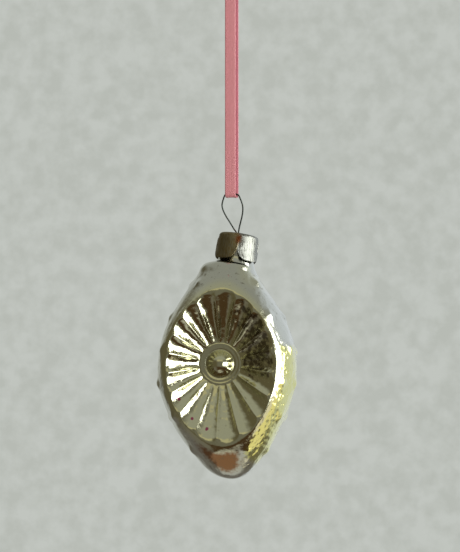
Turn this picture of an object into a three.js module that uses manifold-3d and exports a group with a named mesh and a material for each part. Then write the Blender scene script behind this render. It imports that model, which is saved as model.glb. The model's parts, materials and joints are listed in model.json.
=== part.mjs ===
// A hanging glass ornament: a mould-blown, silvered lemon-shaped bulb with a fluted reflector pressed into
// its front, a four-petalled tin cap, a sprung wire hanger and a doubled satin ribbon knotted above.
// Millimetres, +Z up, front towards -Y. The origin is where a hook touches the underside of the knot.

import * as THREE from "three";
import { mergeVertices } from "three/addons/utils/BufferGeometryUtils.js";
import Module from "manifold-3d";

const wasm = await Module();
wasm.setup();

// ---------------------------------------------------------------- driving dimensions

// Ribbon
const RIBBON_WIDTH = 3;
const RIBBON_THICKNESS = 0.3;
const RIBBON_EDGE = 0.12; // the selvedge, where it is half as thick
const RIBBON_DROP = 62; // from the origin down to the centre of the wire held in the ribbon's fold
const STRAND_SHIFT = 0.43; // the front strand lies this far left of the middle and the back one right of it
const KNOT_SIZE = [5, 4.6, 5.2];
const KNOT_GAP = 0.35; // between the knot and the two strands that enter it
const TAIL_LENGTH = 11;
const TAIL_SPREAD = 20; // degrees each tail leans away from the vertical

// Wire hanger
const WIRE_DIAMETER = 0.42;
const EYE_HALF_WIDTH = 2.93; // centre line of the wire, at the eye's widest
const EYE_DROP = 11.3; // height of the crown above the cap's hole
const EYE_LEAN_SIDE = 2.2; // how far the hole lies to the right of the crown
const EYE_LEAN_BACK = 2.1; // and behind it
const WAIST_HALF_GAP = 0.3; // half the distance between the two legs where they pass the hole
const WAIST_OFFSET = -0.55; // the legs lean against the hole's left side, this far from its middle
const LEG_LENGTH = 15; // below the cap's top, inside the neck

// Cap
const CAP_HEIGHT = 7.9;
const CAP_SHEET = 0.3;
const CAP_FLARE = 0.3; // how much wider the cap is at its petal tips
const CAP_CORNER = 0.9; // radius of its drawn top edge
const CAP_DOME = 0.45; // how far its top rises from that edge to the hole
const CAP_HOLE_RADIUS = 1.45;
const NOTCH_TOP = 2.4; // from the cap's top down to where two petals part
const PETAL_SQUARENESS = 0.78; // how far a petal's outline runs on before it rounds; 0.55 is an ellipse
const PETALS = 4;

// Glass
const GLASS_WALL = 0.8;
const NECK_RADIUS = 5.05;
const NECK_FLARE = 1; // how much wider the neck grows where it meets the shoulder
const NECK_SIDE_CLEARANCE = 0.32; // between the neck and the cap round it
const NECK_TOP_CLEARANCE = 0.35; // between the neck's mouth and the cap's top
const NECK_TILT_SIDE = 8.4; // degrees, the neck's top to the right
const NECK_TILT_BACK = 6; // degrees, the neck's top away from the front
const BULB_RADIUS = 19.9;
const BULB_UPPER = 30.2; // from the widest ring up to the shoulder's flat top
const BULB_LOWER = 31.7; // and down to the tip
const TIP_LEAN = 1.1; // the tip is drawn out this far to the right of the bulb's axis
const BULB_PITCH = 5; // degrees, the tip swung towards the front
const BULB_TURN = -10; // degrees about its own axis, so that the reflector looks a little left
const BULB_SIDE = -1.25; // the bulb's centre from the crown
const BULB_FORWARD = 1.12; // how far in front of the crown the bulb's centre hangs
const SHOULDER_GAP = 0.2; // from the level of the petal tips down to the shoulder's flat top

// Reflector
const REFLECTOR_PLANE = 11.6; // its rim lies on a plane this far in front of the bulb's axis
const REFLECTOR_LAND = 0.6; // from the flutes' ends to the edge where that plane cuts the bulb
const REFLECTOR_DEPTH = 6.6; // from the rim plane in to the flat ring round the boss
const FLUTES = 18;
const FLUTE_DEPTH = 0.9;
const RING_RADIUS = 6;
const BOSS_RADIUS = 3.9;
const BOSS_HEIGHT = 2.6;
const CENTRE_RISE = 1.2; // the boss sits this far above the middle of the rim
const CENTRE_SIDE = -1.25; // and this far to the side
const FAN_EVENNESS = 0.6; // 1 spaces the flutes by equal angles about the boss, 0 by the oval's own

// How finely the solids are faceted, and how far a cutting block runs on past what it cuts
const STEPS_PER_POINT = 3; // along the ribbon and the wire
const WIRE_SIDES = 8;
const KNOT_SEGMENTS = 20;
const KNOT_RINGS = 14;
const CAP_SEGMENTS = 40;
const CORNER_STEPS = 2;
const NOTCH_STEPS = 5;
const NECK_SEGMENTS = 32;
const BULB_SEGMENTS = 48;
const BULB_STEPS = 6;
const HOLLOW_SEGMENTS = 32;
const HOLLOW_STEPS = 4;
const OUTLINE_STEPS = 40;
const SEGMENTS_PER_FLUTE = 4;
const BACKING_SEGMENTS = 36;
const OVERRUN = 1;

// ---------------------------------------------------------------- materials

const silvered = new THREE.MeshStandardMaterial({ color: "#c9c7a6", roughness: 0.12, metalness: 1 });
const tin = new THREE.MeshStandardMaterial({ color: "#a8a79c", roughness: 0.38, metalness: 1 });
const springSteel = new THREE.MeshStandardMaterial({ color: "#3f423d", roughness: 0.35, metalness: 1 });
const satin = new THREE.MeshStandardMaterial({ color: "#c46f78", roughness: 0.55, metalness: 0 });

// ---------------------------------------------------------------- helpers

const degrees = THREE.MathUtils.degToRad;

function mesh(name, geometry, material) {
  const made = new THREE.Mesh(geometry, material);
  made.name = name;
  return made;
}

function solid(geometry) {
  const bare = geometry.index ? geometry.toNonIndexed() : geometry.clone();
  bare.deleteAttribute("normal");
  bare.deleteAttribute("uv");
  const merged = mergeVertices(bare, 1e-4);
  const shape = new wasm.Mesh({
    numProp: 3,
    vertProperties: merged.attributes.position.array,
    triVerts: new Uint32Array(merged.index.array),
  });
  return new wasm.Manifold(shape);
}

function geometryOf(manifold) {
  const shape = manifold.getMesh();
  const geometry = new THREE.BufferGeometry();
  geometry.setAttribute("position", new THREE.BufferAttribute(new Float32Array(shape.vertProperties), 3));
  geometry.setIndex(new THREE.BufferAttribute(new Uint32Array(shape.triVerts), 1));
  geometry.computeVertexNormals();
  return geometry;
}

// A lathe about Z. The profile is a list of Vector2(radius, height), from the lower end to the upper one.
function turned(profile, segments) {
  return new THREE.LatheGeometry(profile, segments).rotateX(Math.PI / 2);
}

// A smooth curve whose steps are shared out evenly between its points: close points give a finer bend.
class PacedCurve extends THREE.CatmullRomCurve3 {
  constructor(points) {
    super(points, false, "centripetal");
  }
  getUtoTmapping(share) {
    return share;
  }
}

function tube(curve, diameter, steps, sides) {
  const section = new THREE.Shape();
  const radius = diameter / 2;
  for (let side = 0; side < sides; side++) {
    const angle = (2 * Math.PI * side) / sides;
    section[side ? "lineTo" : "moveTo"](radius * Math.cos(angle), radius * Math.sin(angle));
  }
  return new THREE.ExtrudeGeometry(section, { steps, extrudePath: curve, bevelEnabled: false });
}

// ---------------------------------------------------------------- frames

const crown = new THREE.Vector3(0, 0, -RIBBON_DROP);
const hole = new THREE.Vector3(crown.x + EYE_LEAN_SIDE, crown.y + EYE_LEAN_BACK, crown.z - EYE_DROP);

// The neck frame: its origin is the centre of the cap's hole, on the cap's top face. Its Z runs up the neck.
const neckTurn = new THREE.Euler(-degrees(NECK_TILT_BACK), degrees(NECK_TILT_SIDE), 0, "XYZ");
const neckFrame = new THREE.Matrix4().makeRotationFromEuler(neckTurn).setPosition(hole);
const intoNeck = neckFrame.clone().invert();

// The bulb frame: its origin is the centre of the widest ring, and its -Y is square to the reflector.
const bulbLevel = hole.z - CAP_HEIGHT - SHOULDER_GAP - BULB_UPPER;
const bulbCentre = new THREE.Vector3(crown.x + BULB_SIDE, crown.y - BULB_FORWARD, bulbLevel);
const bulbTurn = new THREE.Euler(-degrees(BULB_PITCH), 0, degrees(BULB_TURN), "XYZ");
const bulbFrame = new THREE.Matrix4().makeRotationFromEuler(bulbTurn).setPosition(bulbCentre);
const bulbInNeck = intoNeck.clone().multiply(bulbFrame);

// ---------------------------------------------------------------- ribbon

// The centre line of the doubled ribbon as [Y, Z], down the front strand, under the wire and up the back one.
const RIBBON_LINE = [
  [-0.6, 0],
  [-1.9, -1.2],
  [-2.75, -3.2],
  [-2.75, -6],
  [-2.55, -12],
  [-2.2, -22],
  [-1.85, -32],
  [-1.5, -42],
  [-1.15, -52],
  [-1, -59],
  [-1, -62],
  [-0.71, -62.71],
  [0, -63],
  [0.71, -62.71],
  [1, -62],
  [1, -59],
  [1.15, -52],
  [1.5, -42],
  [1.85, -32],
  [2.2, -22],
  [2.55, -12],
  [2.75, -6],
  [2.75, -3.2],
  [1.9, -1.2],
  [0.6, 0],
];
const RIBBON_STEPS = STEPS_PER_POINT * (RIBBON_LINE.length - 1);

// The ribbon's section: flat, with its edges thinned, as woven tape is.
function ribbonSection() {
  const across = RIBBON_WIDTH / 2;
  const through = RIBBON_THICKNESS / 2;
  const flat = across - RIBBON_EDGE;
  const section = new THREE.Shape();
  section.moveTo(flat, through);
  section.lineTo(-flat, through);
  section.lineTo(-across, through / 2);
  section.lineTo(-across, -through / 2);
  section.lineTo(-flat, -through);
  section.lineTo(flat, -through);
  section.lineTo(across, -through / 2);
  section.lineTo(across, through / 2);
  return section;
}

function ribbon() {
  const points = RIBBON_LINE.map(([y, z]) => new THREE.Vector3(0, y, z));
  const options = { steps: RIBBON_STEPS, extrudePath: new PacedCurve(points), bevelEnabled: false };
  const strip = new THREE.ExtrudeGeometry(ribbonSection(), options);
  const position = strip.attributes.position;
  for (let index = 0; index < position.count; index++) {
    const side = THREE.MathUtils.clamp(position.getY(index), -1, 1);
    position.setX(index, position.getX(index) + side * STRAND_SHIFT);
  }
  return mesh("ribbon", strip, satin);
}

// The overhand knot that joins the strands, with its two cut tails standing up out of it.
function ribbonKnot() {
  const [wide, deep, tall] = KNOT_SIZE;
  const lump = new THREE.SphereGeometry(0.5, KNOT_SEGMENTS, KNOT_RINGS);
  let joined = solid(lump.rotateX(Math.PI / 2).scale(wide, deep, tall));
  for (const side of [-1, 1]) {
    const lean = side * degrees(TAIL_SPREAD);
    const tail = new THREE.BoxGeometry(RIBBON_WIDTH, RIBBON_THICKNESS, TAIL_LENGTH)
      .translate(0, 0, TAIL_LENGTH / 2 + tall / 4)
      .rotateX(-lean);
    joined = joined.add(solid(tail));
  }
  const made = mesh("ribbon_knot", geometryOf(joined), satin);
  made.position.set(0, 0, KNOT_GAP + tall / 2);
  return made;
}

// ---------------------------------------------------------------- wire hanger

// The eye at shares of its height, from the crown (0) down to the hole (1): how much of its sideways lean it
// has taken by there, and half its width.
const EYE_SHAPE = [
  [0, 0, 0],
  [0.008, 0, 0.34],
  [0.03, 0, 0.64],
  [0.085, 0.01, 0.76],
  [0.14, 0.03, 0.84],
  [0.2, 0.05, 0.92],
  [0.3, 0.1, 1],
  [0.42, 0.22, 0.96],
  [0.57, 0.4, 0.78],
  [0.72, 0.6, 0.53],
  [0.9, 0.83, 0.24],
];

// Half the gap between the legs at shares of their length below the hole, as shares of the neck's bore.
const LEG_SHAPE = [
  [0.1, 0.16],
  [0.35, 0.5],
  [0.65, 0.8],
  [1, 0.95],
];

// One half of the wire, from the crown down to a leg's end, in the neck frame. side is 1 for the right leg
// and -1 for the left.
function wireHalf(side) {
  const top = crown.clone().applyMatrix4(intoNeck);
  const waist = new THREE.Vector3(WAIST_OFFSET, 0, 0);
  const sideways = new THREE.Vector3(1, 0, 0).transformDirection(intoNeck);
  const legReach = NECK_RADIUS - GLASS_WALL - NECK_SIDE_CLEARANCE - WIRE_DIAMETER / 2;
  const across = waist.clone().sub(top).dot(sideways);
  const points = EYE_SHAPE.map(([down, lean, out]) => {
    const middle = top.clone().lerp(waist, down);
    return middle.addScaledVector(sideways, (lean - down) * across + side * out * EYE_HALF_WIDTH);
  });
  points.push(new THREE.Vector3(WAIST_OFFSET + side * WAIST_HALF_GAP, 0, 0));
  for (const [down, out] of LEG_SHAPE) {
    const middle = WAIST_OFFSET * (1 - down);
    points.push(new THREE.Vector3(middle + side * out * legReach, 0, -down * LEG_LENGTH));
  }
  return points;
}

function hangerWire() {
  const points = [...wireHalf(-1).reverse(), ...wireHalf(1).slice(1)];
  const steps = STEPS_PER_POINT * (points.length - 1);
  return mesh("hanger_wire", tube(new PacedCurve(points), WIRE_DIAMETER, steps, WIRE_SIDES), springSteel);
}

// ---------------------------------------------------------------- cap

const CAP_INNER_RADIUS = NECK_RADIUS + NECK_SIDE_CLEARANCE;

// The drawn cup, with the hanger's hole in its top: its profile closes on itself round the sheet.
function capProfile() {
  const inner = CAP_INNER_RADIUS;
  const outer = inner + CAP_SHEET;
  const path = new THREE.Path();
  const bend = outer - CAP_CORNER;
  const level = -CAP_DOME - CAP_CORNER;
  path.moveTo(CAP_HOLE_RADIUS, -CAP_SHEET);
  path.lineTo(bend, -CAP_DOME - CAP_SHEET);
  path.absarc(bend, level, CAP_CORNER - CAP_SHEET, Math.PI / 2, 0, true);
  path.lineTo(inner + CAP_FLARE, -CAP_HEIGHT);
  path.lineTo(outer + CAP_FLARE, -CAP_HEIGHT);
  path.lineTo(outer, level);
  path.absarc(bend, level, CAP_CORNER, 0, Math.PI / 2, false);
  path.lineTo(CAP_HOLE_RADIUS, 0);
  path.lineTo(CAP_HOLE_RADIUS, -CAP_SHEET);
  return path.getPoints(CORNER_STEPS);
}

// What is cut away between two petals: its two sides are squarish quarter rounds that meet in a point.
function notchCutter() {
  const halfPetal = (CAP_INNER_RADIUS + CAP_FLARE) * Math.sin(Math.PI / PETALS);
  const fall = CAP_HEIGHT - NOTCH_TOP;
  const steep = -NOTCH_TOP - PETAL_SQUARENESS * fall;
  const flat = (1 - PETAL_SQUARENESS) * halfPetal;
  const shape = new THREE.Shape();
  shape.moveTo(0, -NOTCH_TOP);
  shape.bezierCurveTo(0, steep, flat, -CAP_HEIGHT, halfPetal, -CAP_HEIGHT);
  shape.lineTo(halfPetal, -CAP_HEIGHT - OVERRUN);
  shape.lineTo(-halfPetal, -CAP_HEIGHT - OVERRUN);
  shape.lineTo(-halfPetal, -CAP_HEIGHT);
  shape.bezierCurveTo(-flat, -CAP_HEIGHT, 0, steep, 0, -NOTCH_TOP);
  const reach = 2 * CAP_INNER_RADIUS;
  const options = { depth: reach, curveSegments: NOTCH_STEPS, bevelEnabled: false };
  return new THREE.ExtrudeGeometry(shape, options).rotateX(Math.PI / 2).translate(0, -OVERRUN, 0);
}

function cap() {
  let cup = solid(turned(capProfile(), CAP_SEGMENTS));
  for (let petal = 0; petal < PETALS; petal++) {
    cup = cup.subtract(solid(notchCutter().rotateZ((2 * Math.PI * petal) / PETALS)));
  }
  return mesh("cap", geometryOf(cup), tin);
}

// ---------------------------------------------------------------- glass bulb

const RIDGE_RISE = [1, 0.45, 0, 0.45]; // from a ridge across a flute, as shares of the ridge's height
const RIM_SPREAD = 16; // the backing's outline grows by its thickness at about this distance from the middle
const BLOCK_SPREAD = 1.35; // the pressing block's edge lies this many times as far out as the flutes' ends
const NECK_SUNK = 3; // how far the neck runs down inside the shoulder
const NECK_WAIST = 2; // above its root the neck has lost three quarters of its flare
const NECK_STRAIGHT = 3.4; // and above this it is straight

// The lemon's outline, from the tip up to the middle of the shoulder. inset moves it inwards by a wall.
function bulbProfile(inset) {
  const wide = BULB_RADIUS - inset;
  const up = BULB_UPPER - inset;
  const down = BULB_LOWER - inset;
  const path = new THREE.Path();
  path.moveTo(0, -down);
  path.quadraticCurveTo(0.2 * wide, -down, 0.37 * wide, -0.885 * down);
  path.bezierCurveTo(0.665 * wide, -0.68 * down, wide, -0.35 * down, wide, 0);
  path.bezierCurveTo(wide, 0.41 * up, 0.585 * wide, 0.7 * up, 0.41 * wide, 0.9 * up);
  path.quadraticCurveTo(0.37 * wide, up, 0.2 * wide, up);
  path.lineTo(0, up);
  return path;
}

// Where the reflector's plane meets the bulb: the oval's half width, half height and middle.
function rimOval() {
  const across = Math.sqrt(BULB_RADIUS ** 2 - REFLECTOR_PLANE ** 2);
  const outline = bulbProfile(0).getPoints(OUTLINE_STEPS);
  const inside = outline.filter((point) => point.x > REFLECTOR_PLANE).map((point) => point.y);
  const top = Math.max(...inside);
  const bottom = Math.min(...inside);
  const tall = (top - bottom) / 2;
  return { across: across - REFLECTOR_LAND, tall: tall - REFLECTOR_LAND, middle: (top + bottom) / 2 };
}

const rim = rimOval();
const boss = new THREE.Vector2(CENTRE_SIDE, rim.middle + CENTRE_RISE);

// How deep the reflector lies below its rim plane. share runs from 0 at the flat ring to 1 at the rim.
function bowlDepth(share) {
  return REFLECTOR_DEPTH * (1 - share ** 1.5);
}

// Rings of the reflector, from the boss's top out to the flutes' ends. Inside the flat ring a ring is a
// circle; outside it, share runs out to the rim oval. ridge is how far the edges between the flutes stand
// proud there.
function reflectorRings(fluted) {
  const rings = [];
  for (const share of [0, 0.4, 0.75, 1]) {
    const dome = BOSS_HEIGHT * Math.sqrt(1 - share ** 2);
    rings.push({ radius: share * BOSS_RADIUS, share: 0, depth: REFLECTOR_DEPTH - dome, ridge: 0 });
  }
  for (const share of [0, 0.15, 0.4, 0.65, 0.87, 1]) {
    const ridge = fluted ? FLUTE_DEPTH * Math.sin(Math.PI * share) ** 0.6 : 0;
    rings.push({ radius: RING_RADIUS, share, depth: bowlDepth(share), ridge });
  }
  return rings;
}

// The direction of a flute or ridge from the boss: between equal angles and the oval's own angles.
function fanDirection(angle) {
  const squashed = Math.atan2(rim.tall * Math.sin(angle), rim.across * Math.cos(angle));
  const difference = Math.atan2(Math.sin(squashed - angle), Math.cos(squashed - angle));
  return angle + (1 - FAN_EVENNESS) * difference;
}

// How far it is from the boss to the rim oval in a direction, by solving the oval's quadratic.
function rimDistance(way) {
  const offset = new THREE.Vector2(boss.x, boss.y - rim.middle);
  const square = (way.x / rim.across) ** 2 + (way.y / rim.tall) ** 2;
  const cross = (offset.x * way.x) / rim.across ** 2 + (offset.y * way.y) / rim.tall ** 2;
  const rest = (offset.x / rim.across) ** 2 + (offset.y / rim.tall) ** 2 - 1;
  return (-cross + Math.sqrt(cross ** 2 - square * rest)) / square;
}

// A point of a ring, as [across, up], moved outwards from the rim's middle by the factor spread.
function ringPoint(ring, angle, spread) {
  const direction = fanDirection(angle);
  const way = new THREE.Vector2(Math.cos(direction), Math.sin(direction));
  const radius = THREE.MathUtils.lerp(ring.radius, rimDistance(way), ring.share);
  const middle = new THREE.Vector2(0, rim.middle);
  return way.multiplyScalar(radius).add(boss).sub(middle).multiplyScalar(spread).add(middle);
}

// The block that presses the reflector in. Its back is the reflector's face, out past the rim it lies in the
// rim plane, and it runs forward clear of the glass. backing is the thickness kept behind the face, on the
// plain block that the hollow is cut back from.
function reflectorBlock(fluted, backing) {
  const rings = reflectorRings(fluted);
  const segments = fluted ? FLUTES * SEGMENTS_PER_FLUTE : BACKING_SEGMENTS;
  const rows = rings.length + 3;
  const profile = Array.from({ length: rows }, (_, row) => new THREE.Vector2(row % (rows - 1), 0));
  const block = new THREE.LatheGeometry(profile, segments);
  const position = block.attributes.position;
  const front = -BULB_RADIUS - OVERRUN;
  for (let column = 0; column <= segments; column++) {
    const angle = (2 * Math.PI * (column % segments)) / segments - Math.PI / 2;
    const rise = RIDGE_RISE[column % SEGMENTS_PER_FLUTE];
    for (let row = 0; row < rows; row++) {
      const ring = rings[Math.min(row, rings.length - 1)];
      const beyond = row >= rings.length;
      const spread = (beyond ? BLOCK_SPREAD : 1) * (ring.share > 0 ? 1 + backing / RIM_SPREAD : 1);
      const [across, up] = ringPoint(ring, angle, spread);
      const depth = beyond ? 0 : ring.depth - ring.ridge * rise;
      const face = backing + depth - REFLECTOR_PLANE;
      position.setXYZ(column * rows + row, across, row > rings.length ? front : face, up);
      if (row === rows - 1) {
        position.setXYZ(column * rows + row, boss.x, front, boss.y);
      }
    }
  }
  return block;
}

// Draws the lower half of a bulb-shaped lathe out towards the tip's lean.
function leaned(geometry) {
  const position = geometry.attributes.position;
  for (let index = 0; index < position.count; index++) {
    const below = Math.max(0, -position.getZ(index) / BULB_LOWER);
    position.setX(index, position.getX(index) + TIP_LEAN * below ** 3);
  }
  return geometry;
}

function neckProfile(radius, root, top, flare) {
  return [
    new THREE.Vector2(0, root),
    new THREE.Vector2(radius + flare, root),
    new THREE.Vector2(radius + flare / 4, root + NECK_WAIST),
    new THREE.Vector2(radius, root + NECK_STRAIGHT),
    new THREE.Vector2(radius, top),
    new THREE.Vector2(0, top),
  ];
}

function glassBulb() {
  const neckTop = -CAP_SHEET - CAP_DOME - NECK_TOP_CLEARANCE;
  const neckRoot = -CAP_HEIGHT - SHOULDER_GAP - NECK_SUNK;
  const neck = solid(turned(neckProfile(NECK_RADIUS, neckRoot, neckTop, NECK_FLARE), NECK_SEGMENTS));
  const boreProfile = neckProfile(NECK_RADIUS - GLASS_WALL, neckRoot - GLASS_WALL, OVERRUN, 0);
  const bore = solid(turned(boreProfile, NECK_SEGMENTS));
  const outer = turned(bulbProfile(0).getPoints(BULB_STEPS), BULB_SEGMENTS);
  const inner = turned(bulbProfile(GLASS_WALL).getPoints(HOLLOW_STEPS), HOLLOW_SEGMENTS);
  const body = solid(leaned(outer).applyMatrix4(bulbInNeck));
  const hollow = solid(leaned(inner).applyMatrix4(bulbInNeck));
  const face = solid(reflectorBlock(true, 0).applyMatrix4(bulbInNeck));
  const backing = solid(reflectorBlock(false, GLASS_WALL).applyMatrix4(bulbInNeck));
  const inside = hollow.subtract(backing).add(bore);
  const glass = body.add(neck).subtract(face).subtract(inside);
  return mesh("glass_bulb", geometryOf(glass), silvered);
}

// ---------------------------------------------------------------- assembly

const ornament = new THREE.Group();
const loop = new THREE.Group();
loop.add(ribbon(), ribbonKnot());
const pendant = new THREE.Group();
pendant.position.copy(hole);
pendant.rotation.copy(neckTurn);
pendant.add(hangerWire(), cap(), glassBulb());
ornament.add(loop, pendant);

export default ornament;
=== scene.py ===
# %% [markdown]
# # A silvered glass reflector ornament
# This lesson rebuilds an old Christmas tree ornament: a lemon of blown glass, silvered inside, with a fluted
# reflector pressed into its front, a tin cap, a wire eye and a doubled satin ribbon. The part's frame comes
# first. It gives the wire's crown, the cap's hole and the neck's axis, and the sizes below repeat the part's
# own. The stains, the lumps, the knot's folds and the room that the glass reflects are given here.

import json
import math

import bpy
import numpy as np
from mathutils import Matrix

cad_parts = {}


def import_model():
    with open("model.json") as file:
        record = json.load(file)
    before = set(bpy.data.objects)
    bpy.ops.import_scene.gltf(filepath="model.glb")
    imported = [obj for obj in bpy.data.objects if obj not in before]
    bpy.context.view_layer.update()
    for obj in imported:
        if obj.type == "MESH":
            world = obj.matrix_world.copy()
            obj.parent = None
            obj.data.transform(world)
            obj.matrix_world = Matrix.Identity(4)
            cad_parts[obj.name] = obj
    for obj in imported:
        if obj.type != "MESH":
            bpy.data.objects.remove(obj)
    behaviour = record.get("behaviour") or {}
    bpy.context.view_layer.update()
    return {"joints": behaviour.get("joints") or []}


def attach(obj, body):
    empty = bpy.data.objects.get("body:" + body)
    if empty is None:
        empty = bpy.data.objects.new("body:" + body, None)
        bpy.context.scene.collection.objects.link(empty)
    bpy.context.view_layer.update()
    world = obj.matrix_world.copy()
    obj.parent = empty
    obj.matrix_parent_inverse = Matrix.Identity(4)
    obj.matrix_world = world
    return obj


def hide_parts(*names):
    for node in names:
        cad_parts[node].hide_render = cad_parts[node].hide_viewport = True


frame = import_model()
MM = 0.001
joints = {joint["name"]: joint for joint in frame["joints"]}
crown = np.array(joints["swing"]["pos_m"]) / MM
hole = np.array(joints["turn"]["pos_m"]) / MM
print("crown of the wire", crown, "hole in the cap", hole)

# %% [markdown]
# ## The camera
# A small object is best seen from some way off through a long lens, so that its outline hardly widens towards
# the viewer. The camera is level with a point just under the bulb's shoulder, square to the front.

# %% Camera
CAMERA_AWAY = 0.7
SEEN_HEIGHT = 0.1577  # how tall a field the lens takes in at the ornament
LOOKED_AT = (-0.0005, 0.0, -0.0855)

lens = bpy.data.cameras.new("camera")
lens.sensor_width = 36
lens.lens = lens.sensor_width * CAMERA_AWAY / SEEN_HEIGHT
camera = bpy.data.objects.new("camera", lens)
camera.location = (LOOKED_AT[0], LOOKED_AT[1] - CAMERA_AWAY, LOOKED_AT[2])
camera.rotation_euler = (math.pi / 2, 0, 0)
bpy.context.scene.collection.objects.link(camera)
bpy.context.scene.camera = camera
bpy.context.scene.view_settings.view_transform = "Standard"
print("lens", round(lens.lens), "mm")

# %% [markdown]
# ## Surfaces from arrays
# Every piece here is a grid of points: rows along a profile or path, columns round it. One function joins a
# grid into faces, one turns it the right way out and one puts it into Blender. A grid that closes both ways
# is a ring; one whose first and last rows shrink to a point is a closed skin.


# %% Grid helpers
def grid_faces(rows, columns, ring):
    """Four-cornered faces: each joins a point, its neighbour in the row and the two in the next row. Each row
    closes on itself, and with ring the last row joins the first."""
    row, column = np.meshgrid(np.arange(rows if ring else rows - 1), np.arange(columns), indexing="ij")
    after = (column + 1) % columns
    above = (row + 1) % rows
    here, there = row * columns, above * columns
    corners = [here + column, here + after, there + after, there + column]
    return np.stack(corners, -1).reshape(-1, 4)


def volume(points, faces):
    """The signed volume: a sixth of the sum, over each face's triangles, of corner . (corner x corner)."""
    a, b, c, d = (points[faces[:, corner]] for corner in range(4))
    return (np.cross(a, b) * c).sum() / 6 + (np.cross(a, c) * d).sum() / 6


def piece(name, grid, material, ring=False, uv=None, masks=None):
    """A grid of points in millimetres, shaped (rows, columns, 3), as a smooth closed mesh in metres. Unless
    it is a ring, its two end rows are closed by a point at their middle."""
    rows, columns = grid.shape[:2]
    points = grid.reshape(-1, 3) * MM
    faces = grid_faces(rows, columns, ring)
    if not ring:
        middles = points.reshape(rows, columns, 3)[[0, -1]].mean(1)
        column = np.arange(columns)
        after = (column + 1) % columns
        last = (rows - 1) * columns
        bottom = np.stack([after, column, np.full(columns, len(points)), after], -1)
        top = np.stack([last + column, last + after, np.full(columns, len(points) + 1), last + column], -1)
        points = np.vstack([points, middles])
        faces = np.vstack([faces, bottom, top])
    if volume(points, faces) < 0:
        faces = faces[:, ::-1]
    single = faces[:, 0] == faces[:, 3]
    polygons = faces[~single].tolist() + faces[single][:, :3].tolist()
    data = bpy.data.meshes.new(name)
    data.from_pydata(points.tolist(), [], polygons)
    data.shade_smooth()
    data.materials.append(material)
    for mask, values in (masks or {}).items():
        full = np.zeros(len(points), np.float32)
        full[: values.size] = values.ravel()
        data.attributes.new(mask, "FLOAT", "POINT").data.foreach_set("value", full)
    if uv is not None:
        full = np.zeros((len(points), 2), np.float32)
        full[: uv.shape[0] * uv.shape[1]] = uv.reshape(-1, 2)
        corner = np.zeros(len(data.loops), np.int32)
        data.loops.foreach_get("vertex_index", corner)
        data.uv_layers.new(name="weave").data.foreach_set("uv", full[corner].ravel())
    made = bpy.data.objects.new(name, data)
    bpy.context.scene.collection.objects.link(made)
    print(name, len(data.vertices), "points,", 2 * len(faces), "triangles at most")
    return made


def unit(vectors):
    """Each vector divided by its length."""
    return vectors / np.maximum(np.linalg.norm(vectors, axis=-1, keepdims=True), 1e-12)


def smoothstep(value, low, high):
    """0 below low, 1 above high, and 3t^2 - 2t^3 between them."""
    share = np.clip((value - low) / (high - low), 0, 1)
    return share * share * (3 - 2 * share)


# %% [markdown]
# Blown glass and thin tin are never quite true. A lattice of random numbers, blended smoothly between its
# points, gives soft lumps of any size. The lattice is drawn once from a fixed seed, so each run is the same.

# %% Soft lumps
LATTICE = np.random.default_rng(7).random((32, 32, 32)) * 2 - 1


def lumps(points, size, shift=0.0):
    """Value noise from -1 to 1: the lattice of cells size millimetres wide, read at the eight corners round
    each point and blended by 3t^2 - 2t^3 along each side."""
    place = points / size + shift
    cell = np.floor(place).astype(int)
    share = place - cell
    share = share * share * (3 - 2 * share)
    total = 0
    for corner in np.ndindex(2, 2, 2):
        index = (cell + corner) % 32
        weight = np.prod(np.where(corner, share, 1 - share), -1)
        total = total + weight * LATTICE[index[..., 0], index[..., 1], index[..., 2]]
    return total


def carried(path, outline, sideways):
    """A profile carried along a path. outline is (columns, 2) or one such outline for each path point. Its
    first number runs along sideways, made square to the path, and its second along path x sideways."""
    along = unit(np.gradient(path, axis=0))
    across = unit(sideways - (along * sideways).sum(-1, keepdims=True) * along)
    up = np.cross(along, across)
    outline = np.broadcast_to(outline, (len(path), *outline.shape[-2:]))
    return path[:, None] + outline[..., :1] * across[:, None] + outline[..., 1:] * up[:, None]


def smooth_path(points, steps):
    """A centripetal Catmull-Rom curve through the points, with the same number of steps between each two. The
    knots are spaced by the square root of the distance, and three rounds of blending give each point."""
    points = np.vstack([2 * points[0] - points[1], points, 2 * points[-1] - points[-2]])
    knots = np.concatenate([[0], np.cumsum(np.sqrt(np.linalg.norm(np.diff(points, axis=0), axis=1)))])
    start = np.arange(1, len(points) - 2)
    share = np.linspace(0, 1, steps, endpoint=False)
    first = np.append(np.repeat(start, steps), start[-1])
    spread = knots[start, None] + share * (knots[start + 1] - knots[start])[:, None]
    at = np.append(spread.ravel(), knots[-2])

    def blend(low, high, a, b):
        part = ((at - knots[first + low]) / (knots[first + high] - knots[first + low]))[:, None]
        return a + (b - a) * part

    p = [points[first + shift] for shift in (-1, 0, 1, 2)]
    one = [blend(shift - 1, shift, p[shift], p[shift + 1]) for shift in (0, 1, 2)]
    two = [blend(shift - 1, shift + 1, one[shift], one[shift + 1]) for shift in (0, 1)]
    return blend(0, 1, two[0], two[1])


# %% [markdown]
# ## Materials
# One small function adds a node, so that a material reads as a list of what it is made of. Colours are
# written as they look on a screen and turned linear once. Patterns read Object coordinates, which are metres,
# so a Mapping node turns them into millimetres.


# %% Node and colour helpers
def linear(hex_colour):
    """A #rrggbb colour as linear RGBA: c / 12.92 at the dark end, ((c + 0.055) / 1.055) ^ 2.4 above it."""
    srgb = np.array([int(hex_colour[i : i + 2], 16) / 255 for i in (1, 3, 5)])
    return (*np.where(srgb <= 0.04045, srgb / 12.92, ((srgb + 0.055) / 1.055) ** 2.4).tolist(), 1.0)


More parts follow.
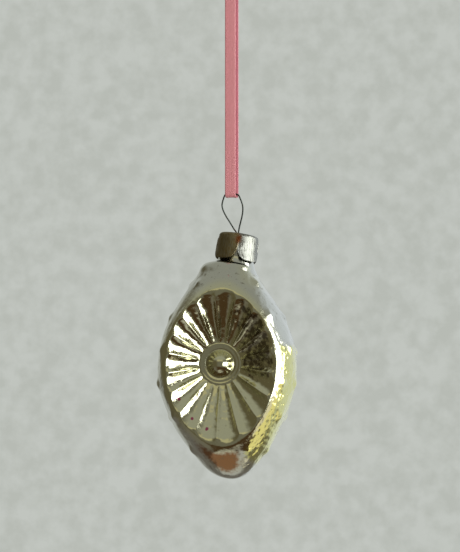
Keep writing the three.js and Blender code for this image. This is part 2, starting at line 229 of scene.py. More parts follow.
def add(tree, kind, inputs=None, **settings):
    """Adds a node: settings are its properties, and inputs maps a socket to a value or a node's output."""
    made = tree.nodes.new(kind)
    for name, value in settings.items():
        setattr(made, name, value)
    for socket, value in (inputs or {}).items():
        if isinstance(value, bpy.types.NodeSocket):
            tree.links.new(value, made.inputs[socket])
        else:
            made.inputs[socket].default_value = value
    return made


FACTOR, FIRST, SECOND, MIXED = 0, 6, 7, 2  # the Mix node's sockets for colours


def mixed(tree, factor, first, second, blend_type="MIX"):
    """The colour between first and second."""
    inputs = {FACTOR: factor, FIRST: first, SECOND: second}
    return add(tree, "ShaderNodeMix", inputs, data_type="RGBA", blend_type=blend_type).outputs[MIXED]


def ramp(tree, value, limits):
    """The value taken from the range in sockets 1 and 2 to the one in 3 and 4, or 0 to 1, and kept in it."""
    return add(tree, "ShaderNodeMapRange", {"Value": value, **limits}).outputs[0]


def noise(tree, place, scale, detail):
    """Fractal noise, read at place."""
    return add(tree, "ShaderNodeTexNoise", {"Vector": place, "Scale": scale, "Detail": detail}).outputs[0]


def millimetres(tree):
    """Object coordinates in millimetres."""
    place = add(tree, "ShaderNodeTexCoord").outputs["Object"]
    return add(tree, "ShaderNodeMapping", {"Vector": place, "Scale": (1 / MM,) * 3}).outputs[0]


def new_material(name, constants):
    """A material with an empty node tree, its output and its shader, whose constants are set."""
    made = bpy.data.materials.new(name)
    made.use_nodes = True
    tree = made.node_tree
    tree.nodes.clear()
    shader = add(tree, "ShaderNodeBsdfPrincipled", constants)
    add(tree, "ShaderNodeOutputMaterial", {"Surface": shader.outputs[0]})
    return made, tree, shader


# %% [markdown]
# ### Woven polyester satin
# Satin is woven so that long warp threads float on its face. They run along the ribbon, which gives it fine
# lengthwise streaks and a soft sheen, and its back is duller and deeper in colour. Real threads are about
# 0.08 mm apart; they are drawn three times as coarse so that they show.

# %% Satin
THREAD = 0.24


def satin_ribbon():
    constants = {"Roughness": 0.5, "Sheen Weight": 0.35, "Sheen Roughness": 0.4, "Anisotropic": 0.5}
    made, tree, shader = new_material("woven_polyester_satin", constants)
    place = add(tree, "ShaderNodeUVMap", uv_map="weave").outputs[0]
    stretched = add(tree, "ShaderNodeMapping", {"Vector": place, "Scale": (1 / THREAD, 0.11, 1)}).outputs[0]
    thread = noise(tree, stretched, 1.0, 2.0)
    slub = add(tree, "ShaderNodeMapping", {"Vector": place, "Scale": (0.5, 0.6, 1)}).outputs[0]
    cloud = noise(tree, slub, 1.0, 3.0)
    face = mixed(tree, thread, linear("#a25f69"), linear("#bc767c"))
    face = mixed(tree, cloud, face, linear("#ab6f74"))
    back = mixed(tree, thread, linear("#97505f"), linear("#ab5f6b"))
    reverse = add(tree, "ShaderNodeAttribute", attribute_name="reverse").outputs["Fac"]
    tree.links.new(mixed(tree, reverse, face, back), shader.inputs["Base Color"])
    bump = add(tree, "ShaderNodeBump", {"Height": thread, "Strength": 0.35, "Distance": 0.00006})
    tree.links.new(bump.outputs[0], shader.inputs["Normal"])
    return made


# %% [markdown]
# ## The ribbon
# One 3 mm satin ribbon goes down in front of the wire's crown, under it and up behind, both strands into the
# same knot. The ornament's weight holds it taut, so the strands are straight and close together, the back one
# a little to the right, where the fold lets it lie. It is a flat profile carried along that route.

# %% Ribbon
RIBBON_WIDTH = 3.0
RIBBON_THICKNESS = 0.26
SELVEDGE = 0.05  # how much thicker each woven edge is
STRAND_SHIFT = 0.43
INTO_KNOT = 1.5  # how far both strands run on up inside the knot
GATHERED_WIDTH = 0.55  # the strip's share of its width where the knot pinches it
# The centre line as (Y, Z) in metres, down the front strand, under the wire and up the back one.
RIBBON_LINE = np.array([
    (-0.0006, 0), (-0.0019, -0.0012), (-0.00275, -0.0032), (-0.00275, -0.006), (-0.00255, -0.012),
    (-0.0022, -0.022), (-0.00185, -0.032), (-0.0015, -0.042), (-0.00115, -0.052), (-0.001, -0.059),
    (-0.001, -0.062), (-0.00071, -0.06271), (0, -0.063), (0.00071, -0.06271), (0.001, -0.062),
    (0.001, -0.059), (0.00115, -0.052), (0.0015, -0.042), (0.00185, -0.032), (0.0022, -0.022),
    (0.00255, -0.012), (0.00275, -0.006), (0.00275, -0.0032), (0.0019, -0.0012), (0.0006, 0),
])  # fmt: skip


def tape(width, thickness, columns=36):
    """The outline of a woven tape: half its thickness, and a little more near each edge, times the curve
    sqrt(1 - x^8) that closes the edges."""
    angle = np.arange(columns) * 2 * np.pi / columns
    x = np.cos(angle)
    half = thickness / 2 + SELVEDGE / 2 * np.exp(-(((np.abs(x) - 0.9) / 0.07) ** 2))
    return np.stack([x * width / 2, np.sign(np.sin(angle)) * half * np.sqrt(np.maximum(0, 1 - x**8))], -1)


def distance_along(path):
    """How far along the path each of its points is."""
    return np.concatenate([[0], np.cumsum(np.linalg.norm(np.diff(path, axis=0), axis=1))])


satin = satin_ribbon()
line = smooth_path(RIBBON_LINE, 14) / MM
route = np.column_stack([np.clip(line[:, 0], -1, 1) * STRAND_SHIFT, line])
tucked = np.linspace(0, 1, 8, endpoint=False)[:, None]
front_end = np.array([-STRAND_SHIFT, -0.25, INTO_KNOT])
back_end = front_end * [-1, -1, 1]
front_tuck = front_end + (route[0] - front_end) * tucked
back_tuck = (back_end + (route[-1] - back_end) * tucked)[::-1]
strip_line = np.vstack([front_tuck, route, back_tuck])
gone = distance_along(strip_line)
gathered = GATHERED_WIDTH + (1 - GATHERED_WIDTH) * smoothstep(np.minimum(gone, gone[-1] - gone), 1, 5)
section = tape(RIBBON_WIDTH, RIBBON_THICKNESS)
sections = section * np.stack([gathered, 0 * gathered + 1], -1)[:, None]
strip = carried(strip_line, sections, np.array([1.0, 0, 0]))
across = np.broadcast_to(section[:, 0], strip.shape[:2])
along = np.broadcast_to(gone[:, None], strip.shape[:2])
inner_face = np.broadcast_to(section[:, 1] < 0, strip.shape[:2]).astype(float)
weave = np.stack([across, along], -1)
ribbon = piece("satin_ribbon_strip", strip, satin, uv=weave, masks={"reverse": inner_face})
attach(ribbon, "ribbon_loop")
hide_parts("ribbon")

# %% [markdown]
# ## The knot
# The two strands are tied in one overhand knot. A tightened one is a short bulging roll of gathered ribbon,
# with one band of the same ribbon wrapped round it and tucked in, and the two cut ends standing up. Each is
# its own carried profile.

# %% Knot
KNOT_MIDDLE = 2.95
KNOT_TALL = 5.2
KNOT_WIDE = 4.3
KNOT_DEEP = 3.9
TAIL_TOP = 14.3
TAIL_SPREAD = 20
TAIL_SLANT = 1.1  # how much lower one corner of a cut end is than the other
BAND_PROUD = 0.25  # how far the band stands out of the roll
BAND_PITCH = 2.0


def knot_roll():
    """The gathered roll: an oval that swells as the square root of sin along its height, with soft pleats
    that run up it as a cosine of its angle."""
    up = np.linspace(0, 1, 60)[:, None]
    angle = np.linspace(0, 2 * np.pi, 120, endpoint=False)
    swell = 0.34 + 0.66 * np.sqrt(np.sin(np.pi * np.clip(up, 0.02, 0.98)))
    pleat = 1 + 0.045 * np.cos(9 * angle + 5 * up) + 0.03 * np.cos(5 * angle - 7 * up)
    x = KNOT_WIDE / 2 * swell * pleat * np.cos(angle)
    y = KNOT_DEEP / 2 * swell * pleat * np.sin(angle)
    z = KNOT_MIDDLE + KNOT_TALL * (0.9 * up - 0.58) + 0 * angle
    return np.stack([x, y, z], -1)


def knot_band():
    """The wrapped band: a tape on a helix of 1.3 turns, whose radius falls at both ends so that it dives into
    the roll."""
    turn = np.linspace(-0.15, 1.15, 200)
    angle = 2 * np.pi * turn - 2.2
    tucked = 1 - 0.45 * (1 - smoothstep(turn, -0.15, 0.02)) - 0.45 * smoothstep(turn, 0.98, 1.15)
    x = (KNOT_WIDE / 2 + BAND_PROUD) * tucked * np.cos(angle)
    y = (KNOT_DEEP / 2 + BAND_PROUD) * tucked * np.sin(angle)
    z = KNOT_MIDDLE + BAND_PITCH * (turn - 0.5)
    outline = tape(RIBBON_WIDTH * 0.8, RIBBON_THICKNESS)
    outline = outline + np.stack([0 * outline[:, 0], -0.35 * (outline[:, 0] / 1.2) ** 2], -1)
    return carried(np.stack([x, y, z], -1), outline, np.array([0, 0, 1.0])), outline


def tail(side):
    """A cut end: a tape on a line that leans away from the other and curls, its top row cut on the slant."""
    up = np.linspace(0, 1, 60)
    lean = math.radians(TAIL_SPREAD)
    length = (TAIL_TOP - KNOT_MIDDLE) / math.cos(lean)
    bend = side * (up * length * math.sin(lean) + 0.5 * np.sin(2.2 * np.pi * up))
    path = np.stack([side * 0.5 * np.sin(2 * up), bend, KNOT_MIDDLE + up * length * math.cos(lean)], -1)
    outline = tape(RIBBON_WIDTH, RIBBON_THICKNESS)
    outline = outline[None] * (0.45 + 0.55 * smoothstep(up, 0.1, 0.4))[:, None, None] ** [1, 0]
    grid = carried(path, outline, np.array([1.0, 0, 0]))
    slant = TAIL_SLANT * smoothstep(up, 0.6, 1)[:, None]
    grid[..., 2] -= slant * (0.5 + side * outline[..., 0] / RIBBON_WIDTH)
    return grid, outline


def ribbon_part(name, grid, outline, reverse_below=True):
    """A piece of the ribbon, with the weave's UVs and its reverse side marked."""
    x = np.broadcast_to(outline[..., 0], grid.shape[:2])
    far = np.broadcast_to(distance_along(grid.mean(1))[:, None], grid.shape[:2])
    marked = np.broadcast_to((outline[..., 1] > 0) == reverse_below, grid.shape[:2]).astype(float)
    made = piece(name, grid, satin, uv=np.stack([x, far], -1), masks={"reverse": marked})
    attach(made, "ribbon_loop")
    return made


roll = knot_roll()
roll_angle = np.linspace(-6, 6, roll.shape[1])
knot = ribbon_part("overhand_knot", roll, np.stack([roll_angle, -1 + 0 * roll_angle], -1))
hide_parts("ribbon_knot")
band = ribbon_part("knot_band", *knot_band())
tails = [ribbon_part(name, *tail(side), side > 0) for name, side in (("front_tail", -1), ("back_tail", 1))]

# %% [markdown]
# ## Frames on the pendant
# The neck leans, because the ornament hangs from a loose wire eye, and the bulb is turned a little about its
# own axis. The turn joint's axis is the neck's, so the neck's frame comes from it. The bulb has a frame of
# its own, square to its reflector.


# %% Neck and bulb frames
def placed(points, axes, origin):
    """Points of a frame put into the part's: each axis times its number, added to the origin."""
    return points @ axes + origin


neck_up = unit(np.array(joints["turn"]["axis"]))
neck_right = unit(np.array([1.0, 0, 0]) - neck_up[0] * neck_up)
neck_axes = np.array([neck_right, np.cross(neck_up, neck_right), neck_up])

CAP_HEIGHT = 7.9
SHOULDER_GAP = 0.2
BULB_RADIUS = 19.9
BULB_UPPER = 30.2
BULB_LOWER = 31.7
TIP_LEAN = 1.1
BULB_SIDE = -1.25
BULB_FORWARD = 1.12
pitch, turn = math.radians(5), math.radians(-10)
tipped = np.array([[1, 0, 0], [0, math.cos(pitch), -math.sin(pitch)], [0, math.sin(pitch), math.cos(pitch)]])
turned = np.array([[math.cos(turn), math.sin(turn), 0], [-math.sin(turn), math.cos(turn), 0], [0, 0, 1]])
bulb_axes = turned @ tipped
bulb_middle = np.array([
    crown[0] + BULB_SIDE, crown[1] - BULB_FORWARD, hole[2] - CAP_HEIGHT - SHOULDER_GAP - BULB_UPPER,
])  # fmt: skip
print("bulb's middle", bulb_middle, "looks along", -bulb_axes[1])

# %% [markdown]
# ### Oxidised spring steel
# The hanger is cold-drawn steel wire that has gone dark. It keeps a low sheen, with drawing lines too fine to
# see and a few brown specks of rust.


# %% Spring wire
def spring_steel():
    made, tree, shader = new_material("oxidised_spring_wire", {"Metallic": 1.0})
    place = millimetres(tree)
    patch = noise(tree, place, 0.9, 4.0)
    rust = ramp(tree, patch, {1: 0.55, 2: 0.72})
    colour = mixed(tree, rust, linear("#3b403b"), linear("#453226"))
    tree.links.new(colour, shader.inputs["Base Color"])
    rough = ramp(tree, patch, {3: 0.25, 4: 0.55})
    tree.links.new(rough, shader.inputs["Roughness"])
    return made


WIRE_DIAMETER = 0.42
EYE_HALF_WIDTH = 2.93
WAIST_HALF_GAP = 0.3
WAIST_OFFSET = -0.55
LEG_LENGTH = 15.0
LEG_REACH = 3.72
# At shares of the eye's height: how much of its sideways lean it has taken, and half its width.
EYE_SHAPE = np.array([
    (0, 0, 0), (0.008, 0, 0.34), (0.03, 0, 0.64), (0.085, 0.01, 0.76), (0.14, 0.03, 0.84), (0.2, 0.05, 0.92),
    (0.3, 0.1, 1), (0.42, 0.22, 0.96), (0.57, 0.4, 0.78), (0.72, 0.6, 0.53), (0.9, 0.83, 0.24),
])  # fmt: skip
LEG_SHAPE = np.array([(0.1, 0.16), (0.35, 0.5), (0.65, 0.8), (1, 0.95)])


def wire_half(side):
    """Half the wire, from the crown to a leg's end: the eye's shares of its height, lean and half width, then
    the waist in the cap's hole, then the legs' shares of the neck's bore."""
    top = (crown - hole) @ neck_axes.T
    waist = np.array([WAIST_OFFSET, 0, 0])
    sideways = neck_axes[:, 0]
    lean = (waist - top) @ sideways
    down, leant, out = EYE_SHAPE.T[..., None]
    eye = top + down * (waist - top) + ((leant - down) * lean + side * out * EYE_HALF_WIDTH) * sideways
    neck = np.array([[WAIST_OFFSET + side * WAIST_HALF_GAP, 0, 0]])
    down, out = LEG_SHAPE.T
    legs = np.stack([WAIST_OFFSET * (1 - down) + side * out * LEG_REACH, 0 * down, -down * LEG_LENGTH], -1)
    return np.vstack([eye, neck, legs])


def round_outline(radius, sides):
    """Points on a circle."""
    angle = np.arange(sides) * 2 * np.pi / sides
    return radius * np.stack([np.cos(angle), np.sin(angle)], -1)


wire_line = smooth_path(np.vstack([wire_half(-1)[::-1], wire_half(1)[1:]]), 16)
wire_grid = carried(wire_line, round_outline(WIRE_DIAMETER / 2, 16), np.array([0, 1.0, 0]))
wire = piece("wire_eye", placed(wire_grid, neck_axes, hole), spring_steel())
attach(wire, "hanger")
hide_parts("hanger_wire")

# %% [markdown]
# ### Tarnished tinplate
# The cap is a drawn cup of thin tinned steel. Handling has scratched the bright side, the other side has gone
# brown, and rust has crept out of the notches, where the cut edges were never tinned.


# %% Tinplate
def tinplate():
    made, tree, shader = new_material("stamped_tinplate", {"Metallic": 1.0})
    place = millimetres(tree)
    fine = add(tree, "ShaderNodeTexNoise", {"Vector": place, "Scale": 1.3, "Detail": 6.0, "Roughness": 0.65})
    broad = noise(tree, place, 0.35, 3.0)
    drawn = add(tree, "ShaderNodeMapping", {"Vector": place, "Scale": (3.2, 3.2, 0.35)}).outputs[0]
    scratch = noise(tree, drawn, 1.0, 3.0)
    tarnish = add(tree, "ShaderNodeAttribute", attribute_name="tarnish").outputs["Fac"]
    rust = add(tree, "ShaderNodeAttribute", attribute_name="rust").outputs["Fac"]
    uneven = add(tree, "ShaderNodeMath", {0: tarnish, 1: fine.outputs[0]}, operation="ADD").outputs[0]
    brown = ramp(tree, uneven, {1: 0.75, 2: 1.25})
    marks = ramp(tree, scratch, {1: 0.52, 2: 0.68})
    tin = mixed(tree, marks, linear("#858680"), linear("#3a3934"))
    patchy = ramp(tree, scratch, {1: 0.36, 2: 0.62})
    stained = mixed(tree, broad, linear("#5b4a33"), linear("#9c8c60"))
    stained = mixed(tree, patchy, stained, linear("#8f8872"))
    colour = mixed(tree, brown, tin, stained)
    edge = add(tree, "ShaderNodeMath", {0: rust, 1: fine.outputs[0]}, operation="ADD").outputs[0]
    rusty = ramp(tree, edge, {1: 0.8, 2: 1.45})
    tree.links.new(mixed(tree, rusty, colour, linear("#74411f")), shader.inputs["Base Color"])
    rough = ramp(tree, uneven, {1: 0.2, 2: 1.4, 3: 0.34, 4: 0.5})
    tree.links.new(rough, shader.inputs["Roughness"])
    bump = add(tree, "ShaderNodeBump", {"Height": fine.outputs[0], "Strength": 0.5, "Distance": 0.00012})
    tree.links.new(bump.outputs[0], shader.inputs["Normal"])
    return made


# %% [markdown]
# ## The cap
# The cup is one sheet: its middle surface runs from the hanger's hole over a low dome, round a drawn corner
# and down a skirt that ends in four rounded petals. The sheet's thickness is laid off to both sides of it and
# its two edges are rounded, which makes a closed ring of rows.

# %% Cap
NECK_RADIUS = 5.05
CAP_SHEET = 0.3
CAP_RADIUS = NECK_RADIUS + 0.32 + CAP_SHEET / 2  # of the sheet's middle surface
CAP_FLARE = 0.3
CAP_CORNER = 0.75
CAP_DOME = 0.45
CAP_HOLE_RADIUS = 1.45
NOTCH_TOP = 2.4
PETALS = 4
PETAL_COLUMNS = 72


def petal_angles():
    """Angles round the cap, crowded towards each notch as the cosine is towards its ends. Also how far each
    lies from its nearest notch, as a share of half a petal's chord."""
    share = np.arange(PETAL_COLUMNS) / PETAL_COLUMNS
    inside = np.pi / PETALS * (1 - np.cos(np.pi * share))
    notch = np.arange(PETALS)[:, None] * 2 * np.pi / PETALS - np.pi / 2
    away = np.minimum(inside, 2 * np.pi / PETALS - inside)
    chord = np.sin(away) / np.sin(np.pi / PETALS)
    return (notch + inside).ravel(), np.tile(chord, PETALS)


def cap_sheet(angle, chord):
    """The sheet's middle surface. The dome falls evenly, the corner is a quarter circle, and the skirt widens
    a little to the petals' edge, whose squarish quarter rounds are x^3 + y^3 = 1."""
    dome = np.linspace(0, 1, 14, endpoint=False)
    corner = np.linspace(0, np.pi / 2, 9)
    skirt = np.linspace(0, 1, 34)[1:, None]
    bend = CAP_RADIUS - CAP_CORNER
    level = -CAP_SHEET / 2 - CAP_DOME - CAP_CORNER
    crest = CAP_HOLE_RADIUS + (bend - CAP_HOLE_RADIUS) * dome
    radius = np.concatenate([crest, bend + CAP_CORNER * np.sin(corner)])
    height = np.concatenate([-CAP_SHEET / 2 - CAP_DOME * dome, level + CAP_CORNER * np.cos(corner)])
    edge = -NOTCH_TOP - (CAP_HEIGHT - NOTCH_TOP) * np.cbrt(1 - (1 - chord) ** 3)
    fall = level + (edge - level) * skirt
    down = (level - fall) / (level + CAP_HEIGHT)
    lifted = 0.22 * skirt**3 * (1 - chord)
    flared = CAP_RADIUS + CAP_FLARE * down + lifted
    radius = np.vstack([np.broadcast_to(radius[:, None], (len(radius), len(angle))), flared])
    height = np.vstack([np.broadcast_to(height[:, None], (len(height), len(angle))), fall])
    return np.stack([radius * np.cos(angle), radius * np.sin(angle), height], -1)


def thick_sheet(middle, thickness, edge_rows=5):
    """A sheet of that thickness round its middle surface: rows down one side, half a circle round the edge,
    rows back up the other side and half a circle round the other edge."""
    down = np.gradient(middle, axis=0)
    round_it = np.roll(middle, -1, axis=1) - np.roll(middle, 1, axis=1)
    out = unit(np.cross(round_it, down))
    down = unit(np.cross(out, round_it))
    angle = np.linspace(0, np.pi, edge_rows + 2)[1:-1, None, None]
    half = thickness / 2
    lower = middle[-1] + half * (np.cos(angle) * out[-1] + np.sin(angle) * down[-1])
    upper = middle[0] - half * (np.cos(angle) * out[0] + np.sin(angle) * down[0])
    return np.concatenate([middle + half * out, lower, (middle - half * out)[::-1], upper])


cap_angle, cap_chord = petal_angles()
sheet = cap_sheet(cap_angle, cap_chord)
dent = 0.07 * lumps(sheet, 2.6) + 0.03 * lumps(sheet, 1.1, 5)
sheet = sheet + dent[..., None] * unit(sheet * [1, 1, 0])
cap_grid = thick_sheet(sheet, CAP_SHEET)
brown_side = smoothstep(-cap_grid[..., 0], -0.7, 0.5)
near_notch = np.exp(-((np.abs(cap_grid[..., 0]) / 1.1) ** 2) - (((cap_grid[..., 2] + 2.2) / 1.7) ** 2))
rust = np.where(cap_grid[..., 1] < 0, near_notch, 0.5 * near_notch)
cap = piece("petalled_cap", placed(cap_grid, neck_axes, hole), tinplate(), ring=True,
            masks={"tarnish": brown_side, "rust": rust})  # fmt: skip
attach(cap, "cap")
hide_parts("cap")

# %% [markdown]
# ## The lemon and its reflector
# The glass was blown into a mould. Away from the reflector it is a surface of revolution, whose outline is
# four curves. The reflector is cut into it by a plane: an oval bowl of eighteen scoops with narrow ridges
# between, a flat ring and a round boss. One skin covers both. Its rows start at the boss, cross the scoops
# and the rim and go on round the lemon to the middle of its back, and its columns are shared by the scoops.

# %% Outline of the lemon
REFLECTOR_PLANE = 11.6
REFLECTOR_LAND = 0.6
REFLECTOR_DEPTH = 6.6
FLUTES = 18
FLUTE_COLUMNS = 24
FLUTE_DEPTH = 0.95
RING_RADIUS = 6.0
BOSS_RADIUS = 3.9
BOSS_HEIGHT = 2.6
CENTRE_RISE = 1.2
CENTRE_SIDE = -1.25
FAN_EVENNESS = 0.6
SHALLOW_BELOW = 0.45  # how much less deep the lowest scoops are, where the mould pressed less
RIDGE_ROUND = 0.09  # half the width of a ridge's rounded top, as a share of half a scoop


def bezier(points, steps=60):
    """A Bezier curve: each control point times its binomial weight, C(n, k) t^k (1 - t)^(n - k)."""
    share = np.linspace(0, 1, steps)[:, None]
    degree = len(points) - 1
    weights = [math.comb(degree, k) * share**k * (1 - share) ** (degree - k) for k in range(degree + 1)]
    return sum(weight * np.array(point) for weight, point in zip(weights, points))


def lemon_outline():
    """(radius, height) up the lemon from its tip: a rounded tip, a long swell to the widest ring, the same
    back in to the shoulder, and the shoulder's flat top."""
    wide, up, down = BULB_RADIUS, BULB_UPPER, BULB_LOWER
    tip = [(0, -down), (0.2 * wide, -down), (0.37 * wide, -0.885 * down)]
    lower = [(0.37 * wide, -0.885 * down), (0.665 * wide, -0.68 * down), (wide, -0.35 * down), (wide, 0)]
    upper = [(wide, 0), (wide, 0.41 * up), (0.585 * wide, 0.7 * up), (0.41 * wide, 0.9 * up)]
    shoulder = [(0.41 * wide, 0.9 * up), (0.37 * wide, up), (0.2 * wide, up)]
    return np.vstack([bezier(tip), bezier(lower)[1:], bezier(upper)[1:], bezier(shoulder)[1:], [(0, up)]])


outline = lemon_outline()
past_plane = outline[outline[:, 0] > REFLECTOR_PLANE, 1]
rim_middle = (past_plane.max() + past_plane.min()) / 2
rim_tall = (past_plane.max() - past_plane.min()) / 2 - REFLECTOR_LAND
rim_across = math.sqrt(BULB_RADIUS**2 - REFLECTOR_PLANE**2) - REFLECTOR_LAND
print("rim oval", round(rim_across, 2), "by", round(rim_tall, 2), "about height", round(rim_middle, 2))

# %% Columns and the plane's edge
columns = FLUTES * FLUTE_COLUMNS
angle = np.arange(columns) * 2 * np.pi / columns - np.pi / 2
place_in_flute = (angle + np.pi / 2) * FLUTES / (2 * np.pi) - 0.5
from_middle = 2 * (place_in_flute - np.round(place_in_flute))  # -1 and 1 on the ridges, 0 in a scoop's middle
squashed = np.arctan2(rim_tall * np.sin(angle), rim_across * np.cos(angle))
fan = angle + (1 - FAN_EVENNESS) * np.arctan2(np.sin(squashed - angle), np.cos(squashed - angle))
way_out = np.stack([np.cos(fan), np.sin(fan)], -1)
boss_centre = np.array([CENTRE_SIDE, rim_middle + CENTRE_RISE])


def rim_distance():
    """How far it is from the boss to the rim oval along each column: the positive root of the quadratic
    |(offset + t way) / axes|^2 = 1."""
    axes = np.array([rim_across, rim_tall])
    offset = (boss_centre - [0, rim_middle]) / axes
    scaled = way_out / axes
    square = (scaled**2).sum(-1)
    cross = (scaled * offset).sum(-1)
    return (-cross + np.sqrt(cross**2 - square * ((offset**2).sum() - 1))) / square


oval = boss_centre + rim_distance()[:, None] * way_out - [0, rim_middle]
heading = np.arctan2(oval[:, 1], oval[:, 0])


def edge_distance():
    """How far the reflector's plane runs each way from the rim's middle before it leaves the lemon, found by
    halving the stretch in which it does, forty times."""
    low, high = np.zeros(columns), np.full(columns, 2 * BULB_RADIUS)
    for _ in range(40):
        middle = (low + high) / 2
        x, z = middle * np.cos(heading), rim_middle + middle * np.sin(heading)
        inside = np.hypot(x, REFLECTOR_PLANE) < np.interp(z, outline[:, 1], outline[:, 0], 0, 0)
        low, high = np.where(inside, middle, low), np.where(inside, high, middle)
    return low


edge = edge_distance()

# %% [markdown]
# The bowl is nearly a cone, a little rounded. Each scoop is hollowed across as a power of the distance from
# its middle, which leaves narrow ridges, rounded on top, and its outer end is an arch. The lowest scoops are
# shallower. Depth is worked out from the share of the way outwards, measured against where the arch ends.


# %% Reflector
def reflector():
    """Rows from the boss's top to the plane's edge. The dome falls as 1 - r^2 to a small groove at its foot,
    then the ring is flat with a bead near its edge; outside it the rows blend its circle into the oval. A
    scoop's depth is depth * (1 - s^1.25), less the ridge's rise, flute depth * sin(pi s)^0.6 * u^2.8, where
    u is 1 on the ridge, rounded there, and the flute depth is less in the lowest scoops."""
    boss = np.sin(np.linspace(0.02, 1, 18) * np.pi / 2)[:, None]
    ring = np.linspace(0, 1, 17)[1:-1, None]
    scoop = np.linspace(0, 1, 58)[:, None]
    radius = np.vstack([BOSS_RADIUS * boss, BOSS_RADIUS + (RING_RADIUS - BOSS_RADIUS) * ring])
    foot = 0.18 * np.exp(-(((radius - BOSS_RADIUS - 0.15) / 0.35) ** 2))
    bead = 0.1 * np.exp(-(((radius - RING_RADIUS + 0.35) / 0.3) ** 2))
    high = BOSS_HEIGHT * np.maximum(0, 1 - (radius / BOSS_RADIUS) ** 2) + bead
    inner = radius[..., None] * way_out + boss_centre
    on_ring = RING_RADIUS * way_out + boss_centre
    outer = (1 - scoop[..., None]) * on_ring + scoop[..., None] * (oval + [0, rim_middle])
    arch = 1 - 0.08 * from_middle**2
    share = np.clip(scoop / arch, 0, 1)
    to_ridge = np.hypot(1 - np.abs(from_middle), RIDGE_ROUND) - RIDGE_ROUND
    deep = FLUTE_DEPTH * (1 - SHALLOW_BELOW * smoothstep(-np.sin(fan), 0.3, 0.95))
    ridge = deep * np.sin(np.pi * share) ** 0.6 * (1 - to_ridge) ** 2.8
    bowl = REFLECTOR_DEPTH * (1 - share**1.25)
    depth = np.vstack([np.broadcast_to(REFLECTOR_DEPTH - high + foot, (len(radius), columns)), bowl - ridge])
    flat = np.concatenate([inner, outer])
    land = np.linspace(0, 1, 5)[1:, None]
    reach = np.hypot(*oval.T)
    reach = reach + (edge - reach) * land
    flat_land = reach[..., None] * np.stack([np.cos(heading), np.sin(heading)], -1) + [0, rim_middle]
    flat = np.concatenate([flat, flat_land])
    depth = np.vstack([depth, np.zeros((len(land), columns))])
    along = np.vstack([np.zeros((len(radius), columns)), share, np.ones((len(land), columns))])
    return np.stack([flat[..., 0], depth - REFLECTOR_PLANE, flat[..., 1]], -1), along


def lemon_back(rows):
    """Rows from the plane's edge round to the middle of the back. Each column turns about the rim's middle in
    steps that widen towards the back, 0.7 s + 0.3 s^2, and the lemon's outline, read as a distance for each
    latitude, gives how far out it is."""
    latitude = np.arctan2(outline[:, 1] - rim_middle, outline[:, 0])
    distance = np.hypot(outline[:, 0], outline[:, 1] - rim_middle)
    start = np.arctan2(edge, REFLECTOR_PLANE)
    share = (np.arange(1, rows + 1) / (rows + 0.5))[:, None]
    turned = start + (np.pi - start) * (0.7 * share + 0.3 * share**2)
    way = np.stack([np.sin(turned) * np.cos(heading), -np.cos(turned), np.sin(turned) * np.sin(heading)], -1)
    far = np.interp(np.arcsin(np.clip(way[..., 2], -1, 1)), latitude, distance)
    return way * far[..., None] + [0, 0, rim_middle]


front, scoop_share = reflector()
back = lemon_back(123)
skin = np.concatenate([front, back])
rim_row = len(front) - 1
print("skin of", skin.shape[0], "rows by", columns, "columns; the rim is row", rim_row)


# %% Soften the rim
def softened(grid, first, last, times):
    """Rows from first to last drawn towards the mean of their two neighbours, a few times over."""
    grid = grid.copy()
    for _ in range(times):
        mean = (grid[first - 1 : last - 1] + grid[first + 1 : last + 1]) / 2
        grid[first:last] += 0.5 * (mean - grid[first:last])
    return grid


skin = softened(skin, rim_row - 7, rim_row + 5, 16)

# %% [markdown]
# Old moulds give soft hobnails all over the lemon, and the thin glass and its crinkled lacquer leave the
# skin gently uneven. Both are moved along the skin's own normals, so a mirror shows them as broken
# reflections. The reflector itself is smoother, most of all its boss.

# %% Hobnails and unevenness
HOBNAIL_STEP = 9.5
HOBNAIL_RADIUS = 1.5
HOBNAIL_HEIGHT = 0.5


def normals_of(grid):
    """The unit normal at each point: the cross product of the grid's steps along its columns and its rows."""
    down = np.gradient(grid, axis=0)
    across = np.roll(grid, -1, axis=1) - np.roll(grid, 1, axis=1)
    return unit(np.cross(across, down))


def hobnails(points):
    """Rounded nails on a staggered lattice of height and angle: the sum of exp(-(d / radius)^2) over them."""
    total = np.zeros(points.shape[:-1])
    levels = np.arange(-2.5 * HOBNAIL_STEP, 3 * HOBNAIL_STEP, HOBNAIL_STEP)
    for count, level in enumerate(levels):
        wide = np.interp(level, outline[:, 1], outline[:, 0])
        number = max(6, round(2 * np.pi * wide / HOBNAIL_STEP))
        around = (np.arange(number) + count % 2 / 2) * 2 * np.pi / number
        for nail in np.stack([wide * np.cos(around), wide * np.sin(around), 0 * around + level], -1):
            total += np.exp(-((points - nail) ** 2).sum(-1) / HOBNAIL_RADIUS**2)
    return total


outward = normals_of(skin)
if (outward * skin).sum() < 0:
    outward = -outward
row_number = np.arange(len(skin))[:, None]
on_lemon = smoothstep(row_number, rim_row, rim_row + 12)
on_scoops = smoothstep(scoop_share, 0.0, 0.15) * (1 - smoothstep(scoop_share, 0.9, 1))
on_scoops = np.vstack([on_scoops, np.zeros(back.shape[:2])])
uneven = 0.17 * lumps(skin, 5.5) + 0.055 * lumps(skin, 2.1, 3) + 0.014 * lumps(skin, 0.9, 9)
moved = on_lemon * (HOBNAIL_HEIGHT * hobnails(skin) + uneven)
moved = moved + on_scoops * (0.08 * lumps(skin, 2.6, 6) + 0.036 * lumps(skin, 1.1, 11))
relief = skin + moved[..., None] * outward
print("relief from", round(moved.min(), 3), "to", round(moved.max(), 3), "mm")
